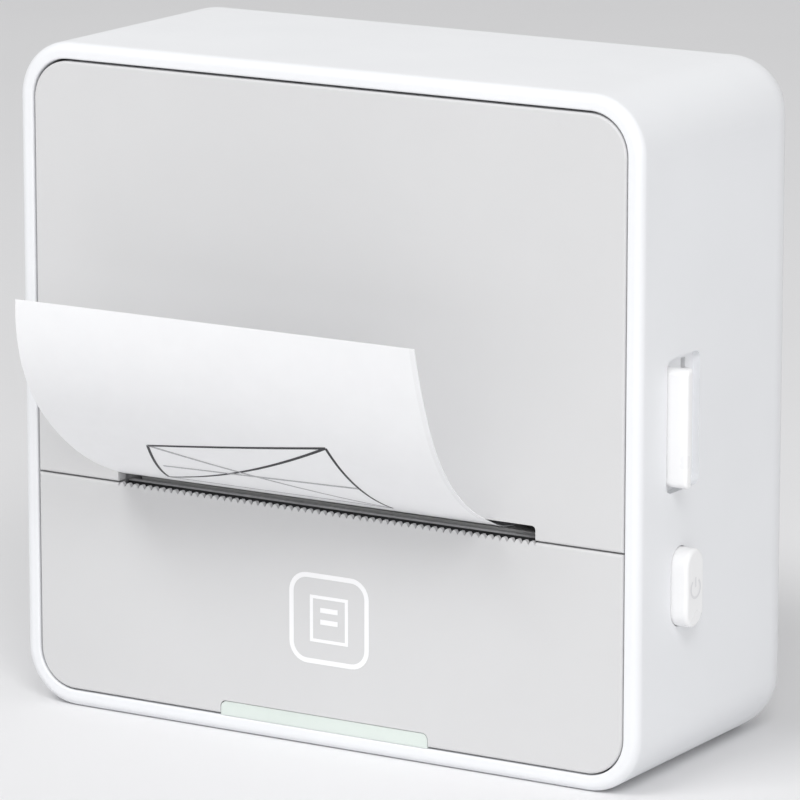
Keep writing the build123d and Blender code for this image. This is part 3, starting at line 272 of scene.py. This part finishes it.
def wound_paper(name, colour, axis_y, axis_z, pitch):
    """Paper roll: plain round the outside, fine rings of the windings on its ends."""
    made, tree, shader, place = new_material(name)
    centred = tree.nodes.new("ShaderNodeVectorMath")
    centred.operation = "SUBTRACT"
    centred.inputs[1].default_value = (0.0, axis_y, axis_z)
    tree.links.new(place, centred.inputs[0])
    flat = stretched(tree, centred.outputs["Vector"], (0.0, 1.0, 1.0))
    radius = tree.nodes.new("ShaderNodeVectorMath")
    radius.operation = "LENGTH"
    tree.links.new(flat, radius.inputs[0])
    turns = tree.nodes.new("ShaderNodeMath")
    turns.operation = "MULTIPLY"
    turns.inputs[1].default_value = 2.0 * math.pi / pitch
    tree.links.new(radius.outputs["Value"], turns.inputs[0])
    wave = tree.nodes.new("ShaderNodeMath")
    wave.operation = "SINE"
    tree.links.new(turns.outputs["Value"], wave.inputs[0])
    rings = between(tree, wave.outputs["Value"], 0.0, 1.0, -1.0, 1.0)
    fibres = noise(tree, place, 2600.0, 5.0, 0.7)
    tone = mixed(tree, rings, shaded(colour, 0.86), shaded(colour, 0.99))
    tree.links.new(tone, shader.inputs["Base Color"])
    tree.links.new(between(tree, fibres, 0.5, 0.65), shader.inputs["Roughness"])
    bump(tree, shader, rings, 0.01 * MM)
    return made


def lip_with_painted_light(name, base, top, start, end):
    """Moulded lip with painted light: a near-black base as painted shade for the dark gap in the slot, and a
    pale upper edge as a painted highlight where light catches the rounding, broken into streaks.
    """
    made, tree, shader, place = new_material(name)
    height = tree.nodes.new("ShaderNodeSeparateXYZ")
    tree.links.new(place, height.inputs["Vector"])
    streak_noise = noise(tree, stretched(tree, place, (1.0, 0.15, 0.15)), 900.0, 3.0)
    streaks = between(tree, streak_noise, 0.85, 1.0)
    # Painted highlight: pale towards the lip's top edge, broken into streaks.
    level = between(tree, height.outputs["Z"], 0.0, 1.0, start, end)
    patchy_mask = tree.nodes.new("ShaderNodeMath")
    patchy_mask.operation = "MULTIPLY"
    tree.links.new(level, patchy_mask.inputs[0])
    tree.links.new(streaks, patchy_mask.inputs[1])
    tree.links.new(mixed(tree, patchy_mask.outputs["Value"], base, top), shader.inputs["Base Color"])
    tree.links.new(between(tree, streak_noise, 0.40, 0.52), shader.inputs["Roughness"])
    shader.inputs["Specular IOR Level"].default_value = 0.15
    bump(tree, shader, streak_noise, 0.003 * MM)
    return made


def cardboard(name, colour):
    """Wound grey board with flecks and a coarse fibre."""
    made, tree, shader, place = new_material(name)
    fibres = noise(tree, stretched(tree, place, (0.3, 1.0, 1.0)), 1500.0, 5.0, 0.7)
    flecks = noise(tree, place, 2400.0, 2.0, 0.5)
    base = mixed(tree, between(tree, fibres, 0.0, 1.0), shaded(colour, 0.8), shaded(colour, 1.15))
    tone = mixed(tree, between(tree, flecks, 0.0, 0.35, 0.62, 0.72), base, shaded(colour, 0.45))
    tree.links.new(tone, shader.inputs["Base Color"])
    shader.inputs["Roughness"].default_value = 0.9
    bump(tree, shader, fibres, 0.03 * MM)
    return made


def circuit_board(name, mask, copper):
    """Solder mask over copper traces, with tinned pads here and there."""
    made, tree, shader, place = new_material(name)
    cells = tree.nodes.new("ShaderNodeTexVoronoi")
    cells.feature = "DISTANCE_TO_EDGE"
    cells.inputs["Scale"].default_value = 420.0
    tree.links.new(place, cells.inputs["Vector"])
    trace = between(tree, cells.outputs["Distance"], 1.0, 0.0, 0.05, 0.09)
    pads = tree.nodes.new("ShaderNodeTexVoronoi")
    pads.feature = "F1"
    pads.inputs["Scale"].default_value = 300.0
    tree.links.new(place, pads.inputs["Vector"])
    pad = between(tree, pads.outputs["Distance"], 1.0, 0.0, 0.16, 0.20)
    base = mixed(tree, trace, mask, shaded(mask, 1.9))
    tone = mixed(tree, pad, base, copper)
    tree.links.new(tone, shader.inputs["Base Color"])
    tree.links.new(between(tree, pad, 0.32, 0.25, 0.0, 1.0), shader.inputs["Roughness"])
    bump(tree, shader, trace, 0.03 * MM)
    return made


def foil_pouch(name, colour):
    """Laminate pouch of the battery, softly creased."""
    made, tree, shader, place = new_material(name)
    creases = noise(tree, place, 90.0, 3.0, 0.5, 0.8)
    grain = noise(tree, place, 1800.0, 2.0)
    tone = mixed(tree, between(tree, creases, 0.0, 1.0), shaded(colour, 0.94), shaded(colour, 1.04))
    tree.links.new(tone, shader.inputs["Base Color"])
    shader.inputs["Metallic"].default_value = 0.35
    tree.links.new(between(tree, grain, 0.34, 0.5), shader.inputs["Roughness"])
    bump(tree, shader, creases, 0.25 * MM)
    return made


def light_strip(name, colour):
    """Frosted green-white light guide, faintly clouded."""
    made, tree, shader, place = new_material(name)
    frost = noise(tree, place, 1500.0, 3.0)
    clouds = noise(tree, place, 60.0, 1.0)
    tone = mixed(tree, between(tree, clouds, 0.0, 1.0), shaded(colour, 0.98), shaded(colour, 1.02))
    tree.links.new(tone, shader.inputs["Base Color"])
    tree.links.new(between(tree, frost, 0.32, 0.42), shader.inputs["Roughness"])
    shader.inputs["Subsurface Weight"].default_value = 0.3
    shader.inputs["Subsurface Radius"].default_value = (1.0, 1.0, 1.0)
    shader.inputs["Subsurface Scale"].default_value = 1.0 * MM
    bump(tree, shader, frost, 0.006 * MM)
    return made


def ink(name, colour):
    """Heat-printed ink, slightly uneven along its lines."""
    made, tree, shader, place = new_material(name)
    dots = noise(tree, place, 8000.0, 2.0)
    tone = mixed(tree, between(tree, dots, 0.0, 1.0), colour, shaded(colour, 2.4))
    tree.links.new(tone, shader.inputs["Base Color"])
    tree.links.new(between(tree, dots, 0.5, 0.7), shader.inputs["Roughness"])
    return made


roll_low, roll_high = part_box("paper_roll")
roll_middle = (roll_low + roll_high) / 2
lip_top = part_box("paper_guide")[1].z
sheet_edge = roll_high.x

materials = {
    "shell": plastic("shell_plastic", shell_white, 0.42),
    "panel": plastic("panel_plastic", panel_grey, 0.50, grain=0.30, depth=0.005),
    "button": plastic("button_plastic", button_white, 0.30, grain=0.5, depth=0.002, coat=0.2),
    "frame": plastic("frame_plastic", (0.62, 0.62, 0.63), 0.48),
    "guide": lip_with_painted_light("guide_plastic", lip_painted_shade, lip_painted_highlight,
                      lip_top - lip_highlight_start, lip_top - lip_highlight_end),
    "chassis": plastic("chassis_plastic", (0.66, 0.66, 0.68), 0.45),
    "acetal": plastic("acetal", (0.84, 0.82, 0.75), 0.36, grain=0.6, depth=0.002),
    "light": light_strip("light_guide", light_green),
    "steel": metal("plated_steel", (0.66, 0.66, 0.68), 0.30, (1.0, 14.0, 14.0)),
    "screw": metal("screw_steel", (0.58, 0.58, 0.60), 0.34, (4.0, 4.0, 4.0)),
    "sink": metal("machined_aluminium", (0.80, 0.80, 0.82), 0.32, (0.5, 20.0, 20.0)),
    "spring": metal("spring_steel", (0.55, 0.55, 0.57), 0.28, (8.0, 8.0, 1.0)),
    "rubber": rubber("platen_rubber", (0.22, 0.22, 0.23)),
    "ceramic": plastic("head_ceramic", (0.80, 0.80, 0.80), 0.14, grain=1.0, depth=0.001, coat=0.6),
    "paper": paper("thermal_paper", paper_white, sheet_edge),
    "roll": wound_paper("wound_paper", paper_white, roll_middle.y, roll_middle.z, winding_pitch),
    "cardboard": cardboard("core_board", (0.42, 0.33, 0.23)),
    "board": circuit_board("circuit_board", (0.010, 0.075, 0.035), (0.75, 0.72, 0.62)),
    "chip": plastic("chip_resin", (0.022, 0.022, 0.024), 0.46, grain=0.2),
    "plug": plastic("plug_resin", (0.80, 0.77, 0.70), 0.42),
    "led": plastic("led_lens", (0.86, 0.78, 0.36), 0.22, coat=0.5),
    "ribbon": plastic("ribbon_film", (0.46, 0.21, 0.05), 0.24, grain=1.5, depth=0.003),
    "battery": foil_pouch("battery_pouch", (0.50, 0.54, 0.60)),
    "ink": ink("printed_ink", ink_black),
    "fine_ink": ink("fine_printed_ink", ink_grey),
    "mark": plastic("mark_paint", (0.90, 0.90, 0.91), 0.45, grain=0.4, depth=0.002),
    "sign": plastic("sign_paint", (0.76, 0.76, 0.775), 0.45, grain=0.4, depth=0.002),
}

# Which material each node of the frame wears
wears = {
    "shell": ["outer_shell"],
    "panel": ["upper_cover", "lower_panel"],
    "button": ["release_button", "power_button"],
    "frame": ["cover_frame"],
    "guide": ["paper_guide"],
    "chassis": ["chassis"],
    "acetal": ["platen_bushes", "platen_gear", "idler_gear", "motor_pinion", "release_slide"],
    "light": ["light_bar"],
    "steel": ["hinge_pins", "platen_shaft", "idler_axle", "gear_plate", "stepper_motor", "charge_socket"],
    "screw": ["cover_screws", "gear_plate_screws", "motor_screws", "panel_screws", "case_screws",
              "board_screws"],
    "sink": ["head_sink"],
    "spring": ["head_springs", "release_spring"],
    "rubber": ["platen_rubber"],
    "ceramic": ["print_head"],
    "paper": ["paper_web", "printed_strip"],
    "roll": ["paper_roll"],
    "cardboard": ["roll_core"],
    "board": ["main_board", "light_board", "switch_board"],
    "chip": ["board_chips", "power_switch"],
    "plug": ["board_connectors", "switch_plunger"],
    "led": ["light_leds"],
    "ribbon": ["head_ribbon"],
    "battery": ["battery"],
}

for key, names in wears.items():
    for name in names:
        nodes[name].data.materials.clear()
        nodes[name].data.materials.append(materials[key])


def mesh_piece(name, points, faces, material, body):
    """New mesh object that rides on a body of the frame."""
    mesh = bpy.data.meshes.new(name)
    mesh.from_pydata(points, [], faces)
    mesh.update()
    piece = bpy.data.objects.new(name, mesh)
    bpy.context.scene.collection.objects.link(piece)
    mesh.materials.append(material)
    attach(piece, body)
    return piece


def band_faces(count, closed):
    """Faces of a flat band whose points come in pairs."""
    last = count if closed else count - 1
    return [(2 * i, 2 * i + 1, (2 * i + 3) % (2 * count), (2 * i + 2) % (2 * count)) for i in range(last)]


def band(path, width, closed):
    """Pairs of points on both sides of a path in a plane, mitred at its corners."""
    pairs = []
    count = len(path)
    for i, point in enumerate(path):
        before = path[(i - 1) % count] if closed or i > 0 else point
        after = path[(i + 1) % count] if closed or i < count - 1 else point
        along = (Vector(after) - Vector(before)).normalized()
        side = Vector((-along.y, along.x)) * width / 2
        pairs += [Vector(point) + side, Vector(point) - side]
    return pairs


def rounded_square(size, corner, steps=8):
    """Closed path of a square with rounded corners about its middle."""
    reach = size / 2 - corner
    path = []
    for quarter, (x, z) in enumerate(((1, 1), (-1, 1), (-1, -1), (1, -1))):
        for step in range(steps + 1):
            turn = math.radians(90.0 * (quarter + step / steps))
            path.append((x * reach + corner * math.cos(turn), z * reach + corner * math.sin(turn)))
    return path


def add_mark():
    """Plain white sign on the lower panel: a rounded frame with a sheet of paper in it."""
    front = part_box("lower_panel")[0].y - mark_thickness
    strokes = [(rounded_square(mark_size - mark_line, mark_corner), True)]
    right, top = sheet_half_width, sheet_half_height
    strokes.append(([(-right, top), (-right, -top), (right, -top), (right, top)], True))
    for height in text_heights:
        strokes.append(([(-text_half_width, height), (text_half_width, height)], False))
    points, faces = [], []
    for path, closed in strokes:
        start = len(points)
        for p in band(path, mark_line, closed):
            points.append((mark_middle_x + p.x, front, mark_middle_z + p.y))
        faces += [tuple(start + k for k in face) for face in band_faces(len(path), closed)]
    mesh_piece("panel_mark", points, faces, materials["mark"], "body")


def add_power_sign():
    """Generic power sign on the outer face of the power button."""
    low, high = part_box("power_button")
    face = high.x + mark_thickness
    middle_y, middle_z = (low.y + high.y) / 2, (low.z + high.z) / 2
    ring = []
    for step in range(sign_steps + 1):
        turn = math.radians(90.0 + sign_opening + (360.0 - 2.0 * sign_opening) * step / sign_steps)
        ring.append((sign_radius * math.cos(turn), sign_radius * math.sin(turn)))
    points, faces = [], []
    for path in (ring, [(0.0, sign_stroke_low), (0.0, sign_stroke_high)]):
        start = len(points)
        for p in band(path, sign_line, False):
            points.append((face, middle_y + p.x, middle_z + p.y))
        faces += [tuple(start + k for k in face_points) for face_points in band_faces(len(path), False)]
    mesh_piece("power_sign", points, faces, materials["sign"], "power")


def sheet_search():
    """Search tree over the faces of the printed strip."""
    mesh = nodes["printed_strip"].data
    return BVHTree.FromPolygons([v.co for v in mesh.vertices], [p.vertices for p in mesh.polygons])


def sheet_profile(sheet, front, low, high, x):
    """Front side of the printed strip at one x: points (y, z), outward normal and distance along it."""
    profile = []
    y = min(front + profile_back, high.y - profile_back_margin)
    while y > low.y + profile_front_margin:
        place, normal = sheet.ray_cast((x, y, low.z - MM), (0.0, 0.0, 1.0))[:2]
        if place is not None:
            profile.append((place.y, place.z, normal))
        y -= profile_step
    lengths = [0.0]
    for first, second in zip(profile, profile[1:]):
        lengths.append(lengths[-1] + math.hypot(second[0] - first[0], second[1] - first[1]))
    crossing = next(i for i, point in enumerate(profile) if point[0] <= front)
    return [(point, length - lengths[crossing]) for point, length in zip(profile, lengths)]


def on_sheet(profile, x, along):
    """Point on the front of the curled sheet, lifted by the height of the ink."""
    for (first, start), (second, end) in zip(profile, profile[1:]):
        if start <= along <= end:
            share = (along - start) / (end - start)
            normal = first[2].lerp(second[2], share).normalized()
            y = first[0] + (second[0] - first[0]) * share
            z = first[1] + (second[1] - first[1]) * share
            return Vector((x, y, z)) + normal * ink_lift
    raise ValueError("The figure leaves the sheet.")


def add_figure():
    """Printed figure that follows the curl of the sheet: a trapezium, its diagonals and middle line."""
    sheet = sheet_search()
    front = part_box("outer_shell")[0].y
    low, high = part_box("printed_strip")
    heavy = [(figure_top_left, figure_top_right), (figure_top_right, figure_low_right),
             (figure_low_left, figure_top_left), (figure_top_right, figure_low_left)]
    fine = [(figure_top_left, figure_low_right), (figure_middle_left, figure_middle_right),
            (figure_low_right, figure_low_left)]
    kinds = (("figure_heavy", heavy, ink_line, "ink"), ("figure_fine", fine, ink_fine_line, "fine_ink"))
    for name, lines, width, key in kinds:
        points, faces = [], []
        for start, end in lines:
            span = math.hypot(end[0] - start[0], end[1] - start[1])
            count = max(2, round(span / ink_step) + 1)
            steps = [i / (count - 1) for i in range(count)]
            path = [tuple(Vector(start).lerp(Vector(end), step)) for step in steps]
            first = len(points)
            for p in band(path, width, False):
                points.append(on_sheet(sheet_profile(sheet, front, low, high, p.x), p.x, p.y))
            faces += [tuple(first + k for k in face) for face in band_faces(count, False)]
        mesh_piece(name, points, faces, materials[key], "cover")


def add_release_spring():
    """Copy of the release spring's mesh, riding on the body in place of the original, which is hidden."""
    piece = bpy.data.objects.new("release_spring_coil", nodes["release_spring"].data.copy())
    bpy.context.scene.collection.objects.link(piece)
    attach(piece, "body")
    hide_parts("release_spring")
    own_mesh(piece)


add_mark()
add_power_sign()
add_figure()
add_release_spring()


def add_stage():
    """Pale floor, a hair under the object so that the two faces don't coincide."""
    mesh = bpy.data.meshes.new("floor")
    reach = floor_reach
    corners = [(x * reach, y * reach, floor_level) for x, y in ((-1, -1), (1, -1), (1, 1), (-1, 1))]
    mesh.from_pydata(corners, [], [(0, 1, 2, 3)])
    floor = bpy.data.objects.new("floor", mesh)
    bpy.context.scene.collection.objects.link(floor)
    made, tree, shader, place = new_material("floor_paint")
    clouds = noise(tree, place, 9.0, 2.0)
    tone = mixed(tree, between(tree, clouds, 0.0, 1.0), floor_dark, floor_light)
    tree.links.new(tone, shader.inputs["Base Color"])
    shader.inputs["Roughness"].default_value = 0.8
    mesh.materials.append(made)


def add_area_light(name, place, width, height, power):
    """White rectangular lamp that faces the object."""
    data = bpy.data.lights.new(name, "AREA")
    data.shape = "RECTANGLE"
    data.size = width
    data.size_y = height
    data.energy = power
    lamp = bpy.data.objects.new(name, data)
    bpy.context.scene.collection.objects.link(lamp)
    lamp.location = place
    lamp.rotation_euler = (Vector(lamp_target) - Vector(place)).to_track_quat("-Z", "Y").to_euler()


def add_world():
    """Even pale surroundings, seen as near white by the camera and in reflections."""
    world = bpy.data.worlds.new("studio")
    world.use_nodes = True
    tree = world.node_tree
    background = tree.nodes["Background"]
    rays = tree.nodes.new("ShaderNodeLightPath")
    either = tree.nodes.new("ShaderNodeMath")
    either.operation = "MAXIMUM"
    tree.links.new(rays.outputs["Is Camera Ray"], either.inputs[0])
    tree.links.new(rays.outputs["Is Glossy Ray"], either.inputs[1])
    seen = tree.nodes.new("ShaderNodeMath")
    seen.operation = "MAXIMUM"
    tree.links.new(either.outputs["Value"], seen.inputs[0])
    tree.links.new(rays.outputs["Is Transmission Ray"], seen.inputs[1])
    level = between(tree, seen.outputs["Value"], world_strength, world_seen, 0.0, 1.0)
    background.inputs["Color"].default_value = (1.0, 1.0, 1.0, 1.0)
    tree.links.new(level, background.inputs["Strength"])
    bpy.context.scene.world = world


def add_camera():
    """Camera at the photograph's place, aimed at the middle of the object."""
    data = bpy.data.cameras.new("camera")
    data.lens = camera_lens
    data.sensor_width = camera_sensor
    data.clip_end = far_clip
    camera = bpy.data.objects.new("camera", data)
    bpy.context.scene.collection.objects.link(camera)
    camera.location = camera_place
    camera.rotation_euler = (camera_target - camera_place).to_track_quat("-Z", "Y").to_euler()
    bpy.context.scene.camera = camera


add_stage()
add_world()
for lamp in lamps:
    add_area_light(*lamp)
add_camera()
bpy.context.scene.view_settings.view_transform = "Standard"
